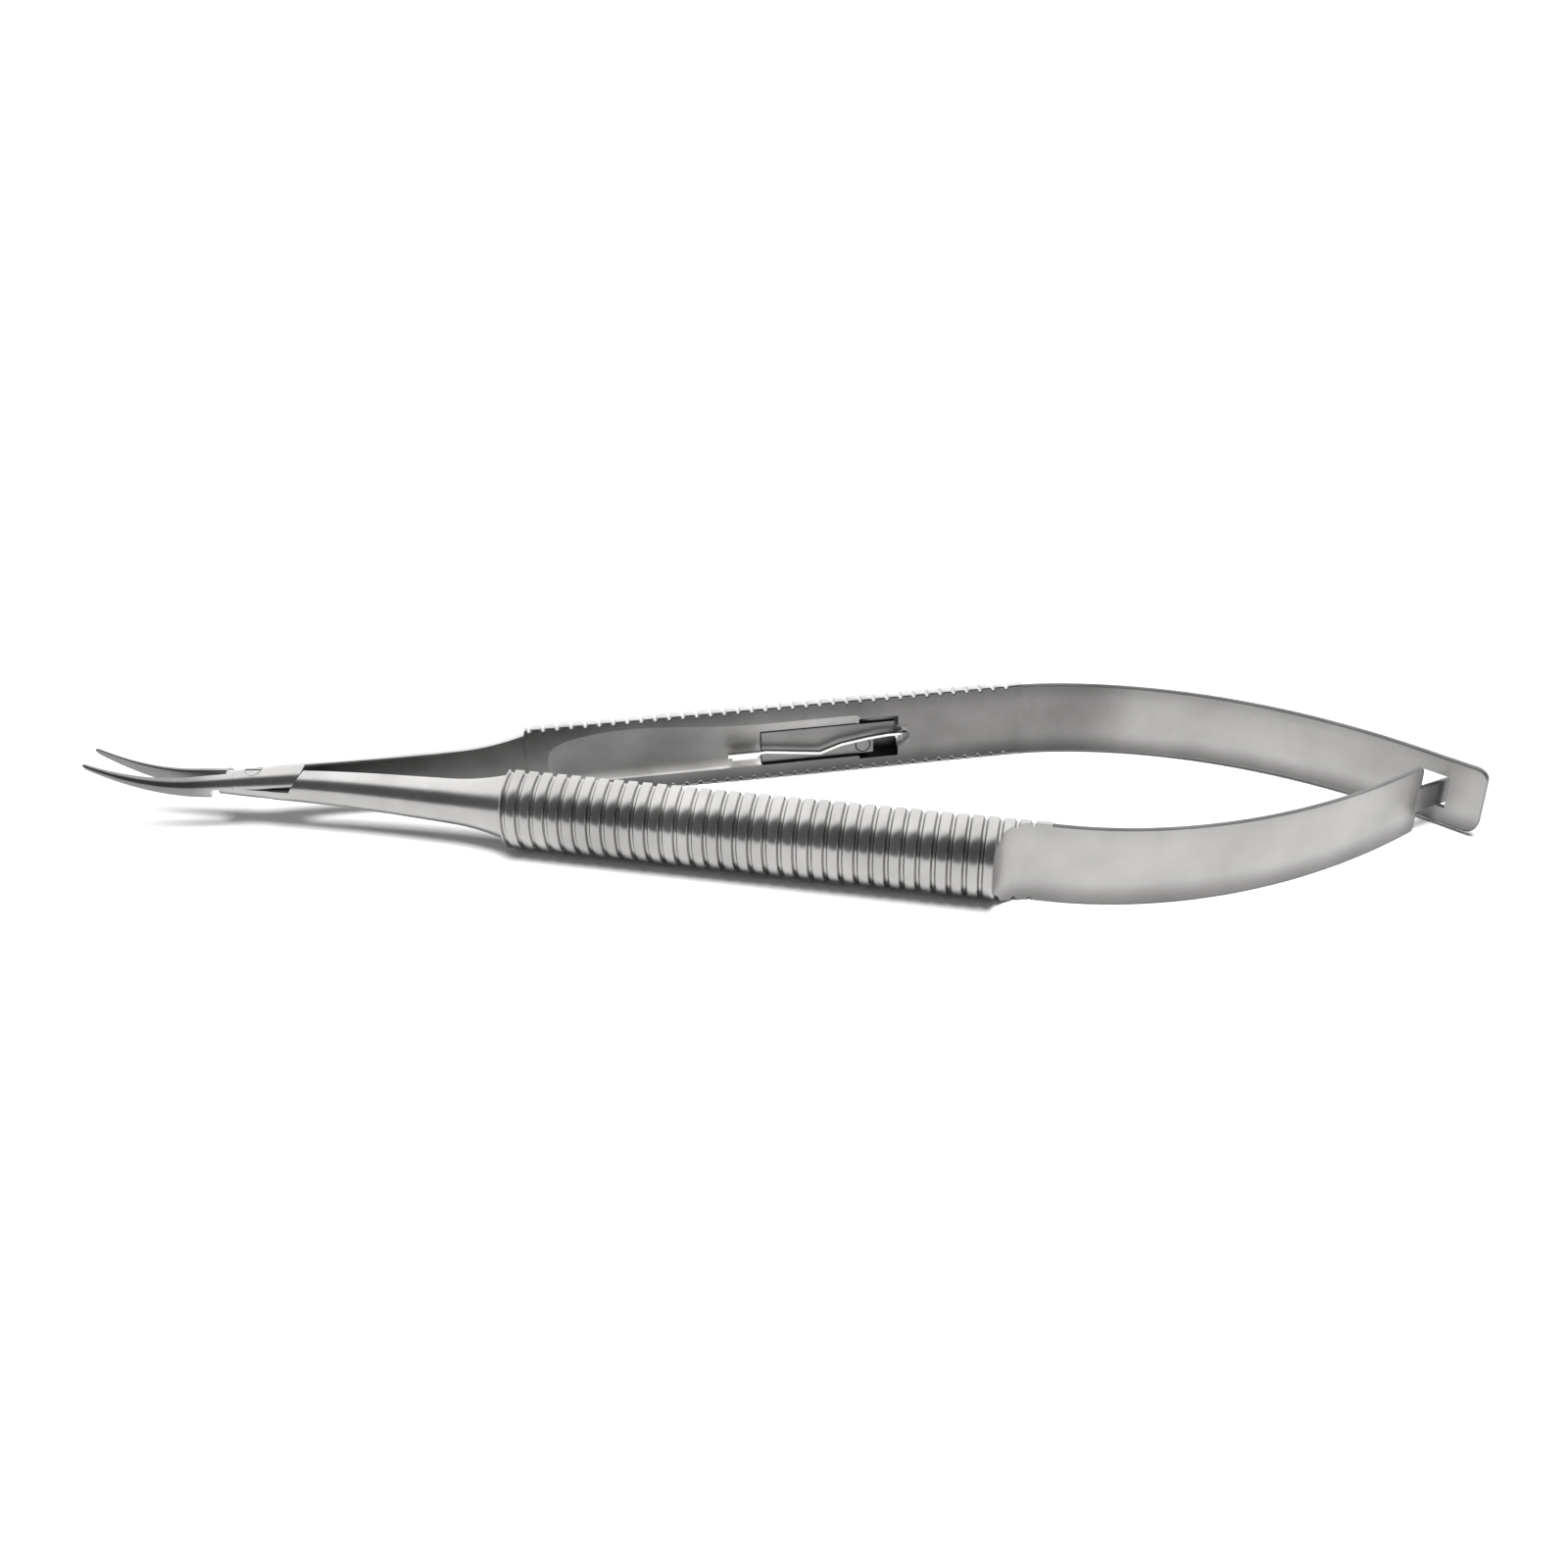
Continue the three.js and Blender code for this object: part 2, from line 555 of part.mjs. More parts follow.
// ---- assembly ----

const nearSide = new THREE.Group();
nearSide.rotation.z = -OPEN_ANGLE;
nearSide.add(nearArm(), nearLeaf(), catchHook(), pivotScrew());

const farSide = new THREE.Group();
farSide.rotation.z = OPEN_ANGLE;
farSide.add(
  farArm(),
  farLeaf(),
  catchBlock(),
  blockPin(),
  catchSpring(),
  springRivet(),
);

const group = new THREE.Group();
group.position.x = PIVOT_X;
group.add(nearSide, farSide);

export default group;
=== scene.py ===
import itertools
import math

import bpy
from mathutils import Matrix, Vector


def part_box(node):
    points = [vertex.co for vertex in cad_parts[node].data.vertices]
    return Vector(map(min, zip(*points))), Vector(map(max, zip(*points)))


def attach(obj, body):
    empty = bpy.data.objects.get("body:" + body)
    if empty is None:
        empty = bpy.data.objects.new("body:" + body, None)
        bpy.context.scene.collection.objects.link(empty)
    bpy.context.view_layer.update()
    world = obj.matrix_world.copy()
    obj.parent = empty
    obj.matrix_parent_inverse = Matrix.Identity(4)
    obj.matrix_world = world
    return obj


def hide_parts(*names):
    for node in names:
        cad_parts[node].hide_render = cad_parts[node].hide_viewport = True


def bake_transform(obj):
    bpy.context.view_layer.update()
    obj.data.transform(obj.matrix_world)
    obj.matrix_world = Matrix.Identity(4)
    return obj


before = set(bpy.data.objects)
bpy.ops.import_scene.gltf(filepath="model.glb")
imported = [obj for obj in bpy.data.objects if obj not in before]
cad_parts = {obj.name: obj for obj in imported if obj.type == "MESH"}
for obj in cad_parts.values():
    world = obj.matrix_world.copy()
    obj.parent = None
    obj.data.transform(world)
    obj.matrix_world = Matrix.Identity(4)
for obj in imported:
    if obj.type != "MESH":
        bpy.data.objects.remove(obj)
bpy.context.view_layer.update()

# The needle holder's arms and leaves as finely rounded metal. Lengths below are millimetres unless a
# comment says otherwise, and each piece is turned into metres in the frame's axes when it is placed.
# Positions on an arm are (s, off, z) with the jaws shut: s along the arm's flat inner face from the pivot,
# off outwards from that face.

MM = 0.001
NEAR = -1
FAR = 1
OPEN_ANGLE = math.radians(5.4)  # each arm, from jaws shut to rest
BELOW = -1  # well below the instrument
ABOVE = 9  # well above the instrument
CLEAR = 1  # how far a cutter reaches past a surface

# Jaws
JAW_LENGTH = 15.9
JAW_POINT = [(0, 0.08), (0.04, 0.15), (0.12, 0.21)]  # (distance back from the tip, radius)
JAW_STATIONS = {"first": 0.3, "step": 0.4, "count": 34}  # sections back from the tip
JAW_EDGE_ROUND = 0.25  # share of the jaw's radius
JAW_FLAT_GAP = 0.04
JAW_TIP_RADIUS = 0.29
JAW_ROOT = 5.5
JAW_ROOT_RADIUS = 1.14
JAW_CURVE_RADIUS = 19.5

# Lap joint
JOINT_RADIUS = 1.47
JOINT_HEIGHT = 4.38
LAP_GAP = 0.08
BARREL_LENGTH = 5.4
BARREL_INSET = 0.02
BARREL_SIDES = 96
BARREL_STEPS = 24
ENDS_IN_LAP = 1.9  # how far from the pivot the jaw and the shank end inside the lap
TAIL_SHOULDER = {"lap": 4.1, "shoulder": 4.3}
TAIL_SHOULDER_RISE = 0.5
UPPER_JAW_SHOULDER = {"lap": 2.6, "shoulder": 2.85}
LOWER_JAW_SHOULDER = {"lap": 3.6, "shoulder": 4.3}
SHOULDER_HEIGHT = 6
SHOULDER_BLEND = 0.4  # where the two radii blend, as a share of the way to either side
SHOULDER_SIDES = 128
SCREW_HOLE = 0.6
SCREW_HEAD_HOLE = 0.84
SCREW_HEAD_UNDER = 4.97

# Shanks and handles
SHANK_FLAT_GAP = 0.12
SHANK_TAPER = 0.044
SHANK_FLARE_START = 20
SHANK_FLARE = 0.0215
BEND_START = 4
BEND_END = 21.9
HANDLE_ANGLE = math.radians(5.818)
HANDLE_RADIUS = 4
HANDLE_HEIGHT = 4
SHANK_STATIONS = {"first": 2.5, "step": 0.5, "count": 48}  # sections from the pivot
SHANK_END = 26
COLLAR_BEVEL = 0.36
COLLAR_FOOT = [(-0.05, 0), (0.04, 0.1)]  # (s from the shank's end, rise above the shank)
COLLAR_RIM = [(-0.22, -0.09), (-0.16, -0.03)]  # (s from the bevel's end, rise above the handle's radius)
RIB_START = 26.8
RIB_PITCH = 1.376
RIB_COUNT = 36
RIB_CREST = 0.9
HANDLE_END = RIB_START + RIB_COUNT * RIB_PITCH
GROOVE_REACH = 0.3  # half of a groove's width, its rounded edges included
GROOVE_DEPTH = 0.33
GROOVE_FLOOR = 0.25  # share of the groove that is flat floor
GROOVE_STEPS = 16
EDGE_ROUND = 0.2  # rounding between a flat and the round of an arm
ARC_STEPS = 44
FILLET_STEPS = 4

# Milled step
LEAF_THICKNESS = 0.55
STEP_START = 71.65
STEP_RADIUS = 3.4
STEP_ARC_STEPS = 24

# Spring leaves
LEAF_STEPS = 90
LEAF_PATH_STEPS = 400
LEAF_EDGE_ROUND = 0.2
TAIL_X = 112.75  # where the two leaves cross, from the pivot
LEAF_HIGH = 7.85  # height of a leaf's upper edge at its root
LEAVES = {  # how firmly the curve leaves the handle and arrives at the tail, its angle and heights there
    NEAR: {
        "root_reach": 8.1,
        "tail_reach": 21.65,
        "tail_angle": math.radians(40.85),
        "tail_low": 0,
        "tail_high": 6.8,
    },
    FAR: {
        "root_reach": 3,
        "tail_reach": 23.8,
        "tail_angle": math.radians(43.5),
        "tail_low": 0.3,
        "tail_high": 7.1,
    },
}
FAR_TAIL = 4.7  # far leaf beyond the crossing
FAR_CORNER = {"length": 1.2, "low": 1.3, "high": 0.9, "steps": 12}  # rounding of the far leaf's free end
SHOULDER_BACK = 2.9  # near leaf's shoulders before the crossing
SHOULDER_CORNER = {"length": 0.35, "steps": 8}  # rounding of the shoulders
TONGUE = {"low": 2.1, "high": 4.7, "rooted": 0.4, "length": 5, "angle": math.radians(29), "steps": 16}
WINDOW = {"low": 2.0, "high": 5.25, "before": 1.75, "after": 1.4, "rounding": 0.15}

# Catch
CHANNEL = {"start": 28, "full": 37, "narrow": 49, "round_off": 58.9, "end": 59.9}
CHANNEL_AXIS = {"off": -5.2, "z": 3.25}
CHANNEL_RADIUS = {"start": 5.096, "wide": 6.05, "narrow": 6, "end": 5.4}  # about the axis, outside the flat
CHANNEL_RISE = {"start": 36, "height": 0.7}  # the wide end lies higher on the handle
CHANNEL_STEPS = {"start": 30, "taper": 20, "end": 10, "sides": 160}
SHELF = {"off": (-2, 2), "z": (1.6, 8)}  # the channel is cut off level below this
BED = {"s": (49.4, 60.5), "off": (-1, 1.1), "z": (1.57, 5.1)}  # recess of the catch block
POCKET = {"s": (59.5, 63.5), "off": (-1, 2.1), "z": (1.25, 5.75)}
COUNTERBORE = {"radius": 1.15, "s": 63.62, "z": 3.4, "depth": 0.75}
PIN_HOLE = {"radius": 0.82, "s": 59.95, "z": 2.6, "depth": 2.87}
RIVET_HOLE = {"radius": 0.24, "s": 63.7, "z": 3.43, "depth": 2.98}
HOOK_SLOT = {"s": (46.65, 48.15), "off": (-1, 2.15), "z": (1.8, 2.45)}

# Camera: distance and angles from the point it looks at
CAMERA_TARGET = Vector((0.713, 5.089, 1.234))
CAMERA_DISTANCE = 157.481
CAMERA_AZIMUTH = math.radians(2.392)
CAMERA_ELEVATION = math.radians(29.283)
CAMERA_ROLL = math.radians(-1.288)
CAMERA_LENS = 36.308
CAMERA_SENSOR = 36
CAMERA_CLIP = (0.01, 50)  # metres

OUTSIDE, INSIDE, STEP, SCOOP = 0, 1, 2, 3  # material slots
RIM = 2  # upper edge of a leaf
SLOT_COUNT = 4
PIN_SIDES = 48
SHARP_ANGLE = math.radians(38)

# Materials, in metres like the coordinates they read
PATCH_SCALE = 180  # soft patches to a metre
PATCH_TONES = (0.3, 0.7)  # where the darker and the lighter tone of a patch are reached
STEEL_WARMTH = 0.03
GRAIN_HEIGHT = 0.00001
# Painted shade at the rims: between these heights the colour is darkened towards the lower and the upper rim;
# the channel's steel is lightened at its lower rim instead, a painted highlight.
LOW_RIM = (0.0002, 0.0026)  # heights between which the shade of the lower rim fades out
HIGH_RIM = (0.0079, 0.0058)

# Stage
FLOOR_REACH = 8  # metres
FLOOR_TONE = 0.9
SKY = {"start": 0.0, "full": 0.4, "dark": 0.2, "bright": 2.45, "height_share": 0.6}


def lerp(a, b, share):
    return a + (b - a) * share


def smoothstep(value, low, high):
    share = min(max((value - low) / (high - low), 0), 1)
    return share * share * (3 - 2 * share)


# ---- meshes ----

def mesh_object(name, points, faces, slots=None):
    mesh = bpy.data.meshes.new(name)
    mesh.from_pydata(points, [], faces)
    for _ in range(SLOT_COUNT):
        mesh.materials.append(None)
    if slots:
        mesh.polygons.foreach_set("material_index", slots)
    mesh.update()
    made = bpy.data.objects.new(name, mesh)
    bpy.context.scene.collection.objects.link(made)
    return made


def loft(name, rings, slot_of=None):
    """A closed body through rings of equally many points. slot_of(index in ring) gives a side's slot."""
    count = len(rings[0])
    points = [point for ring in rings for point in ring]
    faces, slots = [], []
    for ring in range(len(rings) - 1):
        for i in range(count):
            a = ring * count + i
            b = ring * count + (i + 1) % count
            faces.append((a, b, b + count, a + count))
            slots.append(slot_of(i) if slot_of else 0)
    last = (len(rings) - 1) * count
    faces.append(tuple(reversed(range(count))))
    faces.append(tuple(range(last, last + count)))
    slots += [0, 0]
    made = mesh_object(name, points, faces, slots)
    face_outwards(made.data)
    return made


def face_outwards(mesh):
    mesh.calc_loop_triangles()
    volume = 0
    for triangle in mesh.loop_triangles:
        a, b, c = (mesh.vertices[i].co for i in triangle.vertices)
        volume += a.dot(b.cross(c))
    if volume < 0:
        mesh.flip_normals()


def join_by(target, cutter, operation, slot=None):
    """Applies a boolean of cutter to target and removes the cutter. Faces cut by it get the given slot."""
    if slot is not None:
        cutter.data.polygons.foreach_set("material_index", [slot] * len(cutter.data.polygons))
    modifier = target.modifiers.new("boolean", "BOOLEAN")
    modifier.operation = operation
    modifier.object = cutter
    modifier.solver = "MANIFOLD"
    bpy.context.view_layer.update()
    shown = target.evaluated_get(bpy.context.evaluated_depsgraph_get())
    result = bpy.data.meshes.new_from_object(shown)
    target.modifiers.clear()
    target.data = result
    bpy.data.objects.remove(cutter)
    return target


def box(name, side, s, off, z):
    """Box on an arm, from the lower to the higher of each pair."""
    place = on_arm(side)
    points = [place(*corner) for corner in itertools.product(s, off, z)]
    faces = [(0, 1, 3, 2), (4, 6, 7, 5), (0, 4, 5, 1), (2, 3, 7, 6), (0, 2, 6, 4), (1, 5, 7, 3)]
    made = mesh_object(name, points, faces)
    face_outwards(made.data)
    return made


def revolved(name, profile, steps, mapping):
    """Round body about an axis. profile is (position along the axis, radius); mapping takes (along, u, v)."""
    rings = []
    for along, radius in profile:
        turns = [2 * math.pi * i / steps for i in range(steps)]
        rings.append([mapping(along, radius * math.cos(turn), radius * math.sin(turn)) for turn in turns])
    return loft(name, rings)


def smooth(made):
    """Shades smooth, with edges left sharp where the surface turns or where two slots meet."""
    made.data.shade_smooth()
    made.data.set_sharp_from_angle(angle=SHARP_ANGLE)
    slots_beside = {}
    for face in made.data.polygons:
        for key in face.edge_keys:
            slots_beside.setdefault(key, set()).add(face.material_index)
    for edge in made.data.edges:
        if len(slots_beside[edge.key]) > 1:
            edge.use_edge_sharp = True
    weighted = made.modifiers.new("weighted normals", "WEIGHTED_NORMAL")
    weighted.keep_sharp = True
    return made


# ---- places on an arm ----

def flat_line(s):
    """Point of the flat at s, on the side of +Y, and the angle at which the flat runs there."""
    bend_radius = (BEND_END - BEND_START) / HANDLE_ANGLE
    angle = min(max((s - BEND_START) / bend_radius, 0), HANDLE_ANGLE)
    before = min(s, BEND_START)
    after = max(s - BEND_END, 0)
    x = before + bend_radius * math.sin(angle) + after * math.cos(angle)
    y = bend_radius * (1 - math.cos(angle)) + after * math.sin(angle)
    return x, SHANK_FLAT_GAP / 2 + y, angle


def on_arm(side):
    def place(s, off, z):
        x, y, angle = flat_line(s)
        return Vector((x - off * math.sin(angle), side * (y + off * math.cos(angle)), z))
    return place


def hole_cutter(size):
    """Round cutter into the flat of the far arm."""
    place = on_arm(FAR)
    profile = [(-CLEAR, size["radius"]), (size["depth"], size["radius"])]
    return revolved("hole", profile, PIN_SIDES, lambda off, u, v: place(size["s"] + u, off, size["z"] + v))


def pivot_place():
    """Place of the pivot in the frame, in metres."""
    low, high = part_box("pivot_screw")
    return Vector(((low.x + high.x) / 2, (low.y + high.y) / 2, 0))


def to_frame(made, side):
    """Opens an arm's piece to rest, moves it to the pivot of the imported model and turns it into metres."""
    opened = Matrix.Rotation(side * OPEN_ANGLE, 4, "Z")
    made.data.transform(Matrix.Translation(pivot_place()) @ Matrix.Scale(MM, 4) @ opened)
    made.data.update()
    return made


# ---- arms ----

def jaw_radius(back):
    """Radius of a jaw at a distance back from the pivot, towards the tip."""
    if back < JAW_ROOT:
        return lerp(JOINT_RADIUS, JAW_ROOT_RADIUS, back / JAW_ROOT)
    return lerp(JAW_ROOT_RADIUS, JAW_TIP_RADIUS, (back - JAW_ROOT) / (JAW_LENGTH - JAW_ROOT))


def jaw_height(back):
    return JOINT_HEIGHT + max(back - JAW_ROOT, 0) ** 2 / (2 * JAW_CURVE_RADIUS)


def shank_radius(s):
    return JOINT_RADIUS + SHANK_TAPER * s + SHANK_FLARE * max(s - SHANK_FLARE_START, 0) ** 2


def axis_height(s):
    return lerp(JOINT_HEIGHT, HANDLE_HEIGHT, smoothstep(s, BEND_START, BEND_END))


def half_round(radius, rounding):
    """Half-round section as (off, z) from the foot of the flat, over the round, to the top of the flat."""
    rise = math.sqrt((radius - rounding) ** 2 - rounding ** 2)
    turn = math.atan2(rise, rounding)
    points = []
    for i in range(FILLET_STEPS):
        angle = lerp(-math.pi, -turn, i / FILLET_STEPS)
        points.append((rounding + rounding * math.cos(angle), -rise + rounding * math.sin(angle)))
    for i in range(ARC_STEPS + 1):
        angle = lerp(-turn, turn, i / ARC_STEPS)
        points.append((radius * math.cos(angle), radius * math.sin(angle)))
    for i in range(1, FILLET_STEPS + 1):
        angle = lerp(turn, math.pi, i / FILLET_STEPS)
        points.append((rounding + rounding * math.cos(angle), rise + rounding * math.sin(angle)))
    return points


def flat_slot(i):
    return INSIDE if i == 2 * FILLET_STEPS + ARC_STEPS else OUTSIDE


def jaw(side):
    stations = [(JAW_LENGTH - inward, radius) for inward, radius in JAW_POINT]
    for i in range(JAW_STATIONS["count"]):
        back = JAW_LENGTH - JAW_STATIONS["first"] - JAW_STATIONS["step"] * i
        stations.append((back, jaw_radius(back)))
    stations.append((ENDS_IN_LAP, jaw_radius(ENDS_IN_LAP)))
    rings = []
    for back, radius in stations:
        section = half_round(radius, JAW_EDGE_ROUND * radius)
        rings.append([
            Vector((-back, -side * (JAW_FLAT_GAP + off), jaw_height(back) + z)) for off, z in section
        ])
    return loft("jaw", rings, flat_slot)


def groove_radii(centre):
    """(s, radius) across one groove of the ribbed handle."""
    stations = []
    for i in range(GROOVE_STEPS + 1):
        share = 2 * i / GROOVE_STEPS - 1
        depth = GROOVE_DEPTH * (1 - smoothstep(abs(share), GROOVE_FLOOR, 1))
        stations.append((centre + GROOVE_REACH * share, HANDLE_RADIUS - depth))
    return stations


def shank_and_handle(side):
    place = on_arm(side)
    stations = [(ENDS_IN_LAP, shank_radius(ENDS_IN_LAP))]
    for i in range(SHANK_STATIONS["count"]):
        s = SHANK_STATIONS["first"] + SHANK_STATIONS["step"] * i
        stations.append((s, shank_radius(s)))
    base = shank_radius(SHANK_END)
    stations += [(SHANK_END + past, base + rise) for past, rise in COLLAR_FOOT]
    stations += [(SHANK_END + COLLAR_BEVEL + past, HANDLE_RADIUS + rise) for past, rise in COLLAR_RIM]
    for rib in range(RIB_COUNT):
        stations += groove_radii(RIB_START + rib * RIB_PITCH - (RIB_PITCH - RIB_CREST) / 2)
    stations.append((HANDLE_END, HANDLE_RADIUS))
    rings = []
    for s, radius in stations:
        section = half_round(radius, EDGE_ROUND)
        rings.append([place(s, off, axis_height(s) + z) for off, z in section])
    return loft("shank", rings, flat_slot)


def barrel():
    """The round body of the joint, of which each arm keeps its half."""
    turns = [2 * math.pi * (k + 0.5) / BARREL_SIDES for k in range(BARREL_SIDES)]
    rings = []
    for i in range(BARREL_STEPS + 1):
        x = lerp(-BARREL_LENGTH, BARREL_LENGTH, i / BARREL_STEPS)
        radius = (jaw_radius(-x) if x < 0 else shank_radius(x)) - BARREL_INSET
        rings.append([Vector((x, radius * math.cos(t), JOINT_HEIGHT + radius * math.sin(t))) for t in turns])
    return loft("barrel", rings)


def shoulder_cutter(size, start, upwards):
    """Disc about the pivot, going up or down from the lap, with different radii on the tail and jaw sides."""
    jaw_side = (UPPER_JAW_SHOULDER if upwards else LOWER_JAW_SHOULDER)[size]
    rings = []
    for level in (0, SHOULDER_HEIGHT):
        tail = TAIL_SHOULDER[size] + (TAIL_SHOULDER_RISE * level if upwards else 0)
        ring = []
        for i in range(SHOULDER_SIDES):
            turn = 2 * math.pi * i / SHOULDER_SIDES
            x, y = math.cos(turn), math.sin(turn)
            spread = lerp(jaw_side, tail, smoothstep(x, -SHOULDER_BLEND, SHOULDER_BLEND))
            ring.append(Vector((x * spread, y * spread, start + (level if upwards else -level))))
        rings.append(ring)
    return loft("shoulder", rings)


def leaf_step(side):
    """Cutter for the outside of the handle, down to the leaf, with a hollow run-out."""
    place = on_arm(side)
    reach = math.sqrt(STEP_RADIUS ** 2 - (STEP_RADIUS + LEAF_THICKNESS - HANDLE_RADIUS) ** 2)
    floor_start = STEP_START + reach
    centre_off = LEAF_THICKNESS + STEP_RADIUS
    start_turn = math.atan2(HANDLE_RADIUS - centre_off, STEP_START - floor_start) % (2 * math.pi)
    outline = []
    for i in range(STEP_ARC_STEPS + 1):
        turn = lerp(start_turn, 1.5 * math.pi, i / STEP_ARC_STEPS)
        s = floor_start + STEP_RADIUS * math.cos(turn)
        outline.append((s, centre_off + STEP_RADIUS * math.sin(turn)))
    past_end, outside = HANDLE_END + CLEAR, 2 * HANDLE_RADIUS
    outline += [(past_end, LEAF_THICKNESS), (past_end, outside), (STEP_START, outside)]
    return loft("step", [[place(s, off, z) for s, off in outline] for z in (BELOW, ABOVE)])


def upright(radius, low):
    """Round cutter about the pivot, from low to above everything."""
    profile = [(low, radius), (ABOVE, radius)]
    return revolved("upright", profile, PIN_SIDES, lambda z, u, v: Vector((u, v, z)))


def forging(side):
    """Jaw, half of the lap joint, shank and handle in one body. The far handle's arm has the upper lap."""
    is_upper = side == FAR
    face = JOINT_HEIGHT + (1 if is_upper else -1) * LAP_GAP / 2
    arm = join_by(jaw(side), shank_and_handle(side), "UNION")
    arm = join_by(arm, shoulder_cutter("shoulder", face, not is_upper), "DIFFERENCE", OUTSIDE)
    lap = join_by(barrel(), shoulder_cutter("lap", face, is_upper), "INTERSECT")
    arm = join_by(arm, lap, "UNION")
    arm = join_by(arm, upright(SCREW_HOLE, 0), "DIFFERENCE", OUTSIDE)
    if is_upper:
        arm = join_by(arm, upright(SCREW_HEAD_HOLE, SCREW_HEAD_UNDER), "DIFFERENCE", OUTSIDE)
    return join_by(arm, leaf_step(side), "DIFFERENCE", STEP)


def channel_profile():
    """(s, radius) of the channel from its round front end to its rear end."""
    wide, narrow, last = CHANNEL_RADIUS["wide"], CHANNEL_RADIUS["narrow"], CHANNEL_RADIUS["end"]
    profile = []
    steps = CHANNEL_STEPS["start"]
    for i in range(steps + 1):
        share = i / steps
        radius = lerp(CHANNEL_RADIUS["start"], wide, math.sqrt(1 - (1 - share) ** 2))
        profile.append((lerp(CHANNEL["start"], CHANNEL["full"], share), radius))
    steps = CHANNEL_STEPS["taper"]
    for i in range(1, steps + 1):
        profile.append((lerp(CHANNEL["full"], CHANNEL["narrow"], i / steps), lerp(wide, narrow, i / steps)))
    profile.append((CHANNEL["round_off"], narrow))
    steps = CHANNEL_STEPS["end"]
    for i in range(1, steps + 1):
        turn = math.pi / 2 * i / steps
        s = lerp(CHANNEL["round_off"], CHANNEL["end"], math.sin(turn))
        profile.append((s, lerp(last, narrow, math.cos(turn))))
    return profile


def channel_cutter():
    place = on_arm(FAR)

    def mapping(s, u, v):
        rise = CHANNEL_RISE["height"] * (1 - smoothstep(s, CHANNEL_RISE["start"], CHANNEL["narrow"]))
        return place(s, CHANNEL_AXIS["off"] + u, CHANNEL_AXIS["z"] + rise + v)

    channel = revolved("channel", channel_profile(), CHANNEL_STEPS["sides"], mapping)
    reach = (CHANNEL["start"] - CLEAR, CHANNEL["end"] + CLEAR)
    return join_by(channel, box("shelf", FAR, reach, SHELF["off"], SHELF["z"]), "INTERSECT")


def near_arm():
    arm = join_by(forging(NEAR), box("slot", NEAR, **HOOK_SLOT), "DIFFERENCE", INSIDE)
    return smooth(to_frame(arm, NEAR))


def far_arm():
    arm = join_by(forging(FAR), channel_cutter(), "DIFFERENCE", SCOOP)
    for size in (BED, POCKET):
        arm = join_by(arm, box("recess", FAR, **size), "DIFFERENCE", INSIDE)
    for size, slot in ((COUNTERBORE, SCOOP), (PIN_HOLE, INSIDE), (RIVET_HOLE, INSIDE)):
        arm = join_by(arm, hole_cutter(size), "DIFFERENCE", slot)
    return smooth(to_frame(arm, FAR))


# ---- spring leaves ----

def bezier(points, t):
    a, b, c, d = points
    return (1 - t) ** 3 * a + 3 * (1 - t) ** 2 * t * b + 3 * (1 - t) * t * t * c + t ** 3 * d


def heading(angle):
    """Direction with the arm shut, on the side of +Y, for an angle towards the other leaf at rest."""
    turned = -angle - OPEN_ANGLE
    return Vector((math.cos(turned), math.sin(turned)))


def leaf_line(side):
    """Middle line of a leaf with the arm shut, on the side of +Y: points, distances and end heading."""
    shape = LEAVES[side]
    x, y, angle = flat_line(HANDLE_END)
    root = Vector((x - LEAF_THICKNESS / 2 * math.sin(angle), y + LEAF_THICKNESS / 2 * math.cos(angle)))
    crossing = Vector((TAIL_X * math.cos(OPEN_ANGLE), -TAIL_X * math.sin(OPEN_ANGLE)))
    leaving = Vector((math.cos(HANDLE_ANGLE), math.sin(HANDLE_ANGLE)))
    arriving = heading(shape["tail_angle"])
    after_root = root + shape["root_reach"] * leaving
    control = [root, after_root, crossing - shape["tail_reach"] * arriving, crossing]
    path = [bezier(control, i / LEAF_PATH_STEPS) for i in range(LEAF_PATH_STEPS + 1)]
    lengths = [0.0]
    for a, b in zip(path, path[1:]):
        lengths.append(lengths[-1] + (b - a).length)
    return path, lengths, arriving


def leaf_point(line, distance):
    """Point and outward normal at a distance along the leaf."""
    path, lengths, arriving = line
    if distance >= lengths[-1]:
        return path[-1] + (distance - lengths[-1]) * arriving, Vector((-arriving.y, arriving.x))
    i = max(k for k, length in enumerate(lengths[:-1]) if length <= distance)
    share = (distance - lengths[i]) / (lengths[i + 1] - lengths[i])
    along = (path[i + 1] - path[i]).normalized()
    return path[i].lerp(path[i + 1], share), Vector((-along.y, along.x))


def tongue_line(shoulder):
    """A straight line from just before the near leaf's shoulders, turned a little outward from the leaf."""
    root = leaf_point(leaf_line(NEAR), shoulder - TONGUE["rooted"])[0]
    along = heading(TONGUE["angle"])
    return [root, root + TONGUE["length"] * along], [0, TONGUE["length"]], along


def rounded_bar(half, low, high, rounding):
    """Section of a leaf as (off, z): a bar with rounded corners, four points to a corner."""
    points = []
    corners = [(half, low, -90), (half, high, 0), (-half, high, 90), (-half, low, 180)]
    for off, z, first in corners:
        for i in range(4):
            turn = math.radians(first + 30 * i)
            centre_off = off - math.copysign(rounding, off)
            centre_z = z + (rounding if z == low else -rounding)
            points.append((centre_off + rounding * math.cos(turn), centre_z + rounding * math.sin(turn)))
    return points


def leaf_slot(i):
    """Slot of a side of the rounded bar, counted from the start of its outer lower corner."""
    if 5 <= i <= 9:
        return RIM
    return INSIDE if i == 11 else OUTSIDE


def leaf_strip(name, line, side, distances, edges, thickness=LEAF_THICKNESS, rounding=LEAF_EDGE_ROUND):
    """A strip of leaf through distances along its line, with edges(distance) giving its low and high edge."""
    rings = []
    for distance in distances:
        point, normal = leaf_point(line, distance)
        low, high = edges(distance)
        ring = []
        for off, z in rounded_bar(thickness / 2, low, high, rounding):
            ring.append(Vector((point.x + off * normal.x, side * (point.y + off * normal.y), z)))
        rings.append(ring)
    return loft(name, rings, leaf_slot)


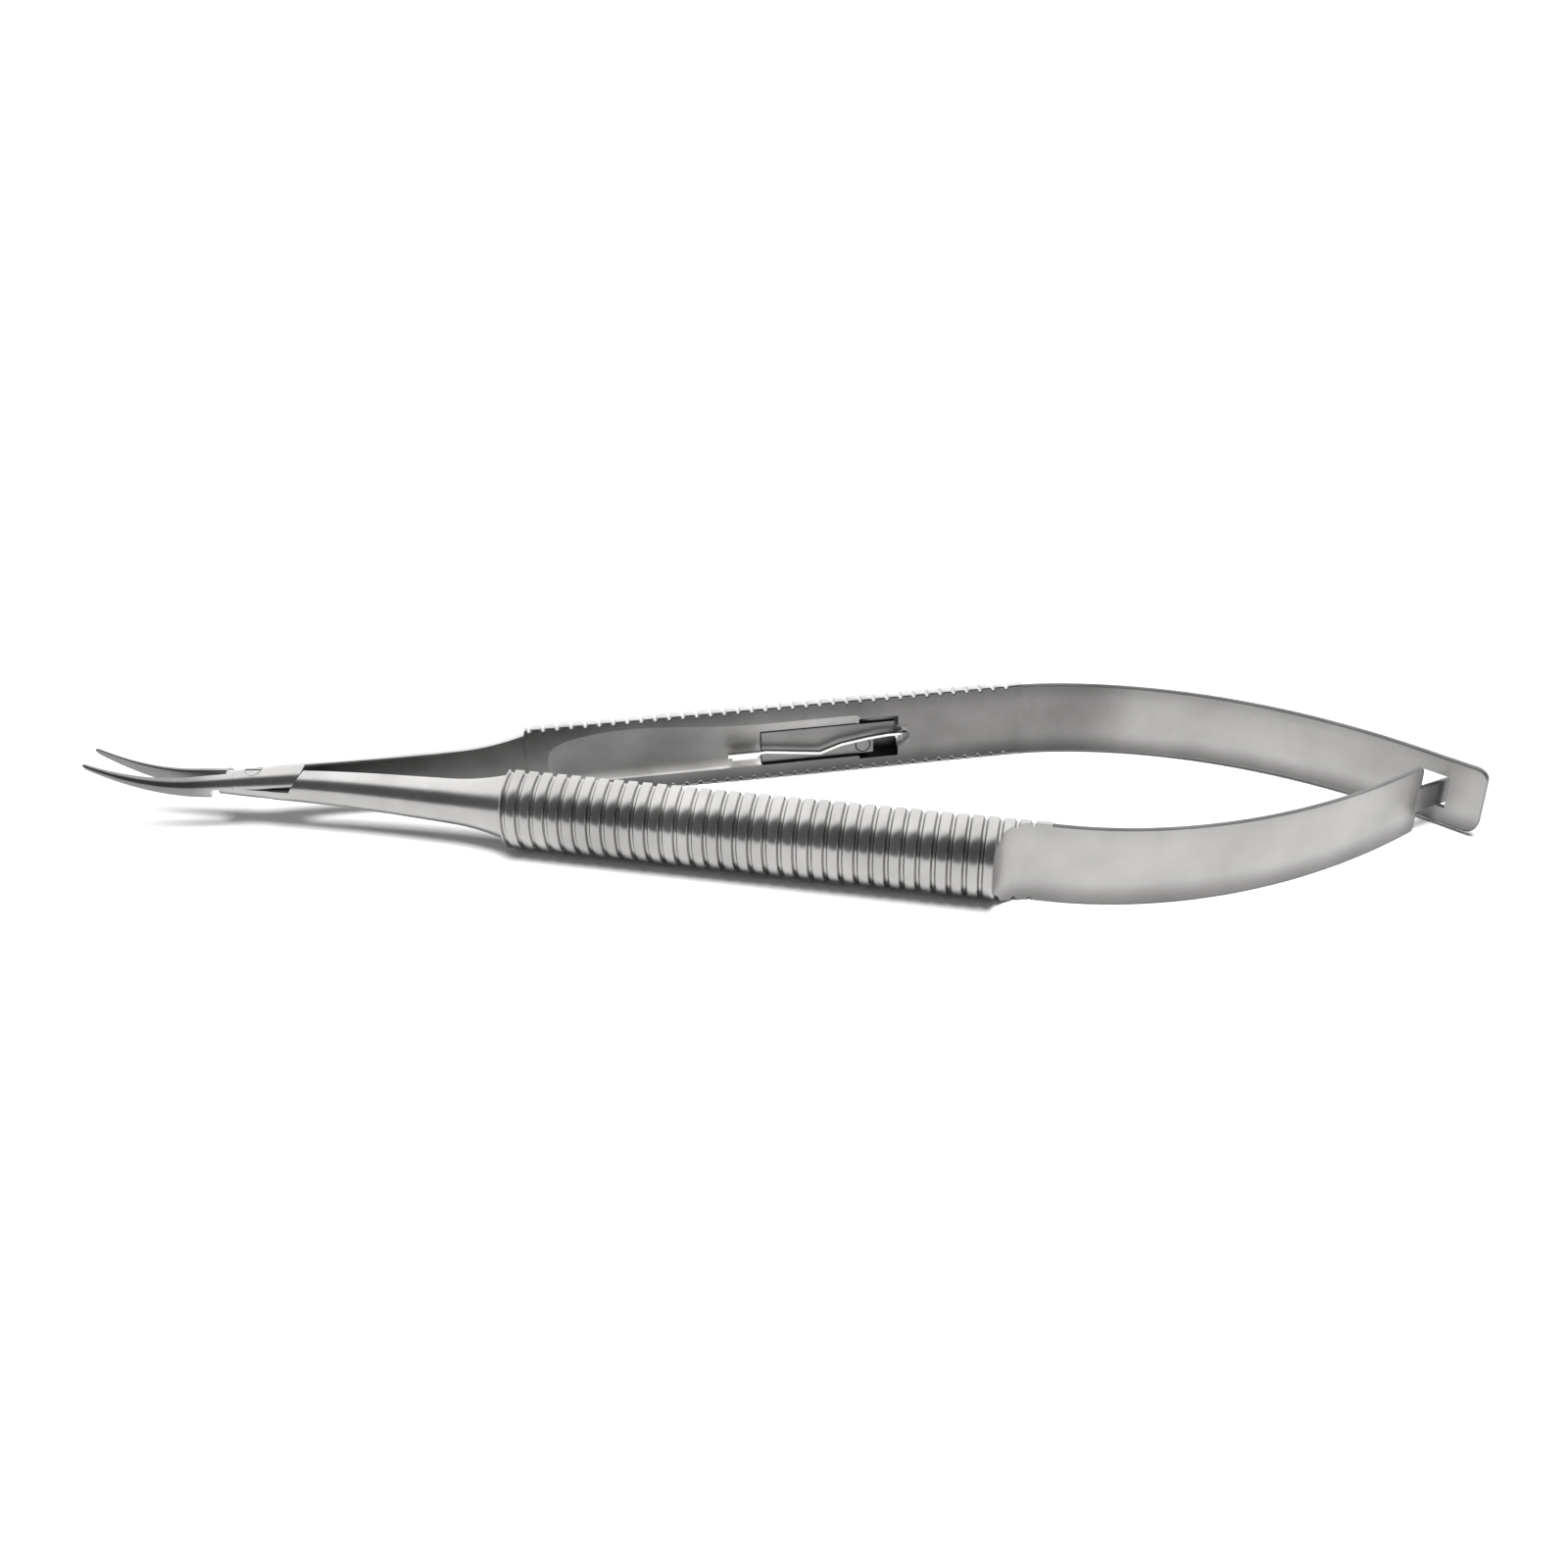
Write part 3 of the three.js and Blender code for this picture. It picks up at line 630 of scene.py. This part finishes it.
def leaf_heights(side, share):
    shape = LEAVES[side]
    share = min(share, 1)
    return shape["tail_low"] * share, lerp(LEAF_HIGH, shape["tail_high"], share)


def corner_drop(distance, end, corner):
    """From 0 to 1 along a quarter round that is corner long and closes at end."""
    past = min(max((distance - end + corner) / corner, 0), 1)
    return 1 - math.sqrt(1 - past ** 2)


def corner_run(end, corner, steps):
    """Distances along a quarter round, closer together towards its end."""
    return [end - corner + corner * math.sin(math.pi / 2 * i / steps) for i in range(steps + 1)]


def near_leaf():
    line = leaf_line(NEAR)
    length = line[1][-1]
    shoulder = length - SHOULDER_BACK
    corner = SHOULDER_CORNER["length"]

    def edges(distance):
        low, high = leaf_heights(NEAR, distance / length)
        drop = corner_drop(distance, shoulder, corner)
        return lerp(low, low + corner, drop), lerp(high, high - corner, drop)

    run = [shoulder * i / LEAF_STEPS for i in range(LEAF_STEPS)]
    run = [distance for distance in run if distance < shoulder - corner]
    run += corner_run(shoulder, corner, SHOULDER_CORNER["steps"])
    leaf = leaf_strip("near_leaf_steel", line, NEAR, run, edges)
    steps = TONGUE["steps"]
    run = [TONGUE["length"] * i / steps for i in range(steps + 1)]
    tongue = leaf_strip("tongue", tongue_line(shoulder), NEAR, run, lambda _: (TONGUE["low"], TONGUE["high"]))
    return to_frame(join_by(leaf, tongue, "UNION"), NEAR)


def far_leaf():
    line = leaf_line(FAR)
    length = line[1][-1]
    end = length + FAR_TAIL
    corner = FAR_CORNER["length"]

    def edges(distance):
        low, high = leaf_heights(FAR, distance / length)
        drop = corner_drop(distance, end, corner)
        return low + FAR_CORNER["low"] * drop, high - FAR_CORNER["high"] * drop

    run = [(end - corner) * i / LEAF_STEPS for i in range(LEAF_STEPS)]
    run += corner_run(end, corner, FAR_CORNER["steps"])
    leaf = leaf_strip("far_leaf_steel", line, FAR, run, edges)
    window = (WINDOW["low"], WINDOW["high"])
    span = [length - WINDOW["before"], length, length + WINDOW["after"]]
    reach = 3 * LEAF_THICKNESS
    cutter = leaf_strip("window", line, FAR, span, lambda _: window, reach, WINDOW["rounding"])
    return to_frame(join_by(leaf, cutter, "DIFFERENCE"), FAR)


def leaf_ends(side):
    """Root and crossing of a leaf in the frame, where its bending starts and ends."""
    path = leaf_line(side)[0]
    turn = Matrix.Rotation(side * OPEN_ANGLE, 3, "Z")
    ends = []
    for point in (path[0], path[-1]):
        ends.append(pivot_place() + MM * (turn @ Vector((point.x, side * point.y, HANDLE_HEIGHT))))
    return ends


# ---- materials ----

def node_material(name):
    made = bpy.data.materials.new(name)
    made.use_nodes = True
    nodes = made.node_tree.nodes
    nodes.clear()
    output = nodes.new("ShaderNodeOutputMaterial")
    shader = nodes.new("ShaderNodeBsdfPrincipled")
    made.node_tree.links.new(shader.outputs[0], output.inputs[0])
    return made, shader


def tone_ramp(nodes, dark, light):
    ramp = nodes.new("ShaderNodeValToRGB")
    for element, position, colour in zip(ramp.color_ramp.elements, PATCH_TONES, (dark, light)):
        element.position = position
        element.color = (*colour, 1)
    return ramp


def painted_rim_shade_and_light(nodes, links, colour, height, low_tone, high_tone):
    """Paints shade into a colour by darkening it towards the lower and the upper rim, to the given shares of
    it; a share above 1 paints a highlight instead.
    """
    for reach, share in ((LOW_RIM, low_tone), (HIGH_RIM, high_tone)):
        fade = nodes.new("ShaderNodeMapRange")
        fade.interpolation_type = "SMOOTHSTEP"
        fade.inputs["From Min"].default_value, fade.inputs["From Max"].default_value = reach
        fade.inputs["To Min"].default_value = share
        links.new(height, fade.inputs["Value"])
        scale = nodes.new("ShaderNodeVectorMath")
        scale.operation = "SCALE"
        links.new(colour, scale.inputs[0])
        links.new(fade.outputs["Result"], scale.inputs["Scale"])
        colour = scale.outputs[0]
    return colour


def steel(name, tones, rough, grain, grain_depth, metallic=1, rims=None, tail_tones=None, change=None):
    """Stainless steel whose colour and roughness drift in soft patches, with a fine grain given by its scale.

    tones are a darker and a lighter grey. With tail_tones, the steel changes to those between two places
    along X, in metres; the materials in build() use this to paint shade and light along a piece. rims are the
    shares of the colour left at the lower and the upper rim, a painted shade below 1 and a painted highlight
    above."""
    made, shader = node_material(name)
    nodes, links = made.node_tree.nodes, made.node_tree.links
    shader.inputs["Metallic"].default_value = metallic
    place = nodes.new("ShaderNodeTexCoord").outputs["Object"]

    patches = nodes.new("ShaderNodeTexNoise")
    patches.inputs["Scale"].default_value = PATCH_SCALE
    patches.inputs["Detail"].default_value = 4
    links.new(place, patches.inputs["Vector"])
    front = tone_ramp(nodes, *tones)
    links.new(patches.outputs["Fac"], front.inputs["Fac"])
    colour = front.outputs["Color"]
    parts = nodes.new("ShaderNodeSeparateXYZ")
    links.new(place, parts.inputs[0])
    if tail_tones:
        tail = tone_ramp(nodes, *tail_tones)
        links.new(patches.outputs["Fac"], tail.inputs["Fac"])
        share = nodes.new("ShaderNodeMapRange")
        share.interpolation_type = "SMOOTHSTEP"
        share.inputs["From Min"].default_value, share.inputs["From Max"].default_value = change
        links.new(parts.outputs["X"], share.inputs["Value"])
        mix = nodes.new("ShaderNodeMix")
        mix.data_type = "RGBA"
        links.new(share.outputs["Result"], mix.inputs["Factor"])
        links.new(colour, mix.inputs["A"])
        links.new(tail.outputs["Color"], mix.inputs["B"])
        colour = mix.outputs["Result"]
    if rims:
        colour = painted_rim_shade_and_light(nodes, links, colour, parts.outputs["Z"], *rims)
    links.new(colour, shader.inputs["Base Color"])

    stretch = nodes.new("ShaderNodeMapping")
    stretch.inputs["Scale"].default_value = grain
    links.new(place, stretch.inputs["Vector"])
    fine = nodes.new("ShaderNodeTexNoise")
    fine.inputs["Scale"].default_value = 1
    fine.inputs["Detail"].default_value = 3
    links.new(stretch.outputs["Vector"], fine.inputs["Vector"])

    spread = nodes.new("ShaderNodeMapRange")
    spread.inputs["To Min"].default_value, spread.inputs["To Max"].default_value = rough
    links.new(fine.outputs["Fac"], spread.inputs["Value"])
    links.new(spread.outputs["Result"], shader.inputs["Roughness"])

    bump = nodes.new("ShaderNodeBump")
    bump.inputs["Strength"].default_value = grain_depth
    bump.inputs["Distance"].default_value = GRAIN_HEIGHT
    links.new(fine.outputs["Fac"], bump.inputs["Height"])
    links.new(bump.outputs["Normal"], shader.inputs["Normal"])
    return made


def grey(tone):
    """A steel grey, a little warmer than neutral."""
    return tone, tone * (1 - STEEL_WARMTH / 2), tone * (1 - STEEL_WARMTH)


def dress(made, *materials):
    """Fills the piece's slots with exactly these materials."""
    slots = made.data.materials
    while len(slots) > len(materials):
        slots.pop()
    while len(slots) < len(materials):
        slots.append(None)
    for i, material in enumerate(materials):
        slots[i] = material


# ---- stage ----

def floor():
    corners = [(-1, -1), (1, -1), (1, 1), (-1, 1)]
    points = [(FLOOR_REACH * x, FLOOR_REACH * y, 0) for x, y in corners]
    made = mesh_object("floor", points, [(0, 1, 2, 3)])
    material, shader = node_material("floor_white")
    shader.inputs["Base Color"].default_value = (FLOOR_TONE, FLOOR_TONE, FLOOR_TONE, 1)
    shader.inputs["Roughness"].default_value = 0.9
    shader.inputs["Specular IOR Level"].default_value = 0.1
    dress(made, material)


def studio_world():
    """A bright tent above and behind, with the darker room in front, before a white backdrop."""
    world = bpy.data.worlds.new("studio")
    bpy.context.scene.world = world
    world.use_nodes = True
    nodes, links = world.node_tree.nodes, world.node_tree.links
    nodes.clear()
    output = nodes.new("ShaderNodeOutputWorld")
    light = nodes.new("ShaderNodeBackground")
    links.new(light.outputs[0], output.inputs[0])
    parts = nodes.new("ShaderNodeSeparateXYZ")
    links.new(nodes.new("ShaderNodeTexCoord").outputs["Generated"], parts.inputs[0])
    height = nodes.new("ShaderNodeMath")
    height.operation = "MULTIPLY"
    height.inputs[1].default_value = SKY["height_share"]
    links.new(parts.outputs["Z"], height.inputs[0])
    total = nodes.new("ShaderNodeMath")
    total.operation = "ADD"
    links.new(parts.outputs["Y"], total.inputs[0])
    links.new(height.outputs[0], total.inputs[1])
    tone = nodes.new("ShaderNodeMapRange")
    tone.interpolation_type = "SMOOTHSTEP"
    tone.inputs["From Min"].default_value = SKY["start"]
    tone.inputs["From Max"].default_value = SKY["full"]
    tone.inputs["To Min"].default_value = SKY["dark"]
    tone.inputs["To Max"].default_value = SKY["bright"]
    links.new(total.outputs[0], tone.inputs["Value"])
    backdrop = nodes.new("ShaderNodeMath")
    backdrop.operation = "MAXIMUM"
    links.new(tone.outputs["Result"], backdrop.inputs[0])
    links.new(nodes.new("ShaderNodeLightPath").outputs["Is Camera Ray"], backdrop.inputs[1])
    links.new(backdrop.outputs[0], light.inputs["Strength"])
    world.cycles_visibility.diffuse = False


def distant_light(name, direction, spread, strength):
    """Light from far away, towards direction, from a patch of sky that is spread degrees across.

    It is left out of reflections, where the studio's sky does that work."""
    lamp = bpy.data.lights.new(name, "SUN")
    lamp.angle = math.radians(spread)
    lamp.energy = strength
    made = bpy.data.objects.new(name, lamp)
    made.rotation_mode = "QUATERNION"
    made.rotation_quaternion = Vector(direction).to_track_quat("-Z", "Y")
    made.visible_glossy = False
    bpy.context.scene.collection.objects.link(made)


def camera():
    a, e, roll = CAMERA_AZIMUTH, CAMERA_ELEVATION, CAMERA_ROLL
    back = Vector((math.sin(a) * math.cos(e), -math.cos(a) * math.cos(e), math.sin(e)))
    right = Vector((math.cos(a), math.sin(a), 0))
    up = back.cross(right)
    across = math.cos(roll) * right + math.sin(roll) * up
    over = -math.sin(roll) * right + math.cos(roll) * up
    lens = bpy.data.cameras.new("camera")
    lens.lens = CAMERA_LENS
    lens.sensor_width = CAMERA_SENSOR
    lens.clip_start, lens.clip_end = CAMERA_CLIP
    made = bpy.data.objects.new("camera", lens)
    turn = Matrix((across, over, back)).transposed()
    made.matrix_world = Matrix.Translation(MM * (CAMERA_TARGET + CAMERA_DISTANCE * back)) @ turn.to_4x4()
    bpy.context.scene.collection.objects.link(made)
    bpy.context.scene.camera = made


# ---- assembly ----

def build():
    # Painted shade: the polished steel is darker on the jaws, at X below -0.0565 m, than on the joint, shanks
    # and handles.
    polished = steel(
        "steel_polished", (grey(0.17), grey(0.23)), (0.18, 0.29), (1500, 1500, 1500), 0.35,
        tail_tones=(grey(0.33), grey(0.44)), change=(-0.0565, -0.0525),
    )
    # Painted shade: the inner flats are darkened towards their lower and upper rims.
    inner = steel(
        "steel_inner", (grey(0.2), grey(0.27)), (0.34, 0.5), (2200, 2200, 900), 0.5, rims=(0.4, 0.75),
        tail_tones=(grey(0.19), grey(0.25)), change=(-0.03, 0.024),
    )
    # Painted light: the channel's steel is much lighter from X = 0.004 m on, towards the catch block, and is
    # lightened towards its lower lip, a painted highlight there.
    scoop = steel(
        "steel_scoop", (grey(0.17), grey(0.25)), (0.36, 0.5), (900, 3200, 3200), 0.5,
        metallic=0.35, rims=(6, 1), tail_tones=(grey(0.5), grey(0.64)), change=(-0.009, 0.004),
    )
    # Painted shade: the leaves' outer steel is darkened towards the lower and the upper rim, and is darker
    # past X = 0.0585 m, at the tail ends and the tongue.
    leaf = steel(
        "steel_leaf", (grey(0.38), grey(0.46)), (0.32, 0.46), (6000, 6000, 260), 0.7, rims=(0.5, 0.9),
        tail_tones=(grey(0.15), grey(0.2)), change=(0.0585, 0.0618),
    )
    # Painted light and shade: the leaves' inner steel is lighter past X = 0.03 m, further from the handles,
    # and is darkened towards the lower and the upper rim.
    leaf_inner = steel(
        "steel_leaf_inner", (grey(0.19), grey(0.25)), (0.32, 0.46), (6000, 6000, 260), 0.7, rims=(0.4, 0.75),
        tail_tones=(grey(0.34), grey(0.43)), change=(0.03, 0.039),
    )
    # Painted shade: the leaves' upper edges get a dark steel.
    leaf_rim_painted_shade = steel("steel_leaf_rim", (grey(0.1), grey(0.16)), (0.32, 0.46), (3000, 3000, 3000), 0.3)
    dark = steel("steel_catch", (grey(0.2), grey(0.28)), (0.36, 0.5), (2600, 2600, 2600), 0.4)
    # Painted shade: the catch spring's bright steel turns dark past X = 0.0122 m, at its end.
    bright = steel(
        "steel_strip", (grey(0.66), grey(0.8)), (0.16, 0.26), (3000, 3000, 3000), 0.2,
        tail_tones=(grey(0.12), grey(0.18)), change=(0.0122, 0.0128),
    )

    for arm, name in ((near_arm(), "near_arm"), (far_arm(), "far_arm")):
        arm.name = name + "_steel"
        dress(arm, polished, inner, leaf, scoop)
        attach(arm, name)
        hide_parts(name)

    for side, piece, prefix in ((NEAR, near_leaf(), "near"), (FAR, far_leaf(), "far")):
        smooth(piece)
        dress(piece, leaf, leaf_inner, leaf_rim_painted_shade)
        start, end = leaf_ends(side)
        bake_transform(piece)
        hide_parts(prefix + "_spring_leaf")

    for node, material in (
        ("pivot_screw", polished),
        ("catch_block", dark),
        ("catch_block_pin", dark),
        ("catch_spring_rivet", dark),
        ("catch_hook", dark),
        ("catch_spring", bright),
    ):
        dress(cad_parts[node], material)
        smooth(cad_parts[node])


camera()
build()
floor()
studio_world()
distant_light("key", (-0.05, 0.2, -1), 27, 4.4)
distant_light("fill", (0, 0, -1), 150, 0.6)
bpy.context.scene.view_settings.view_transform = "Standard"
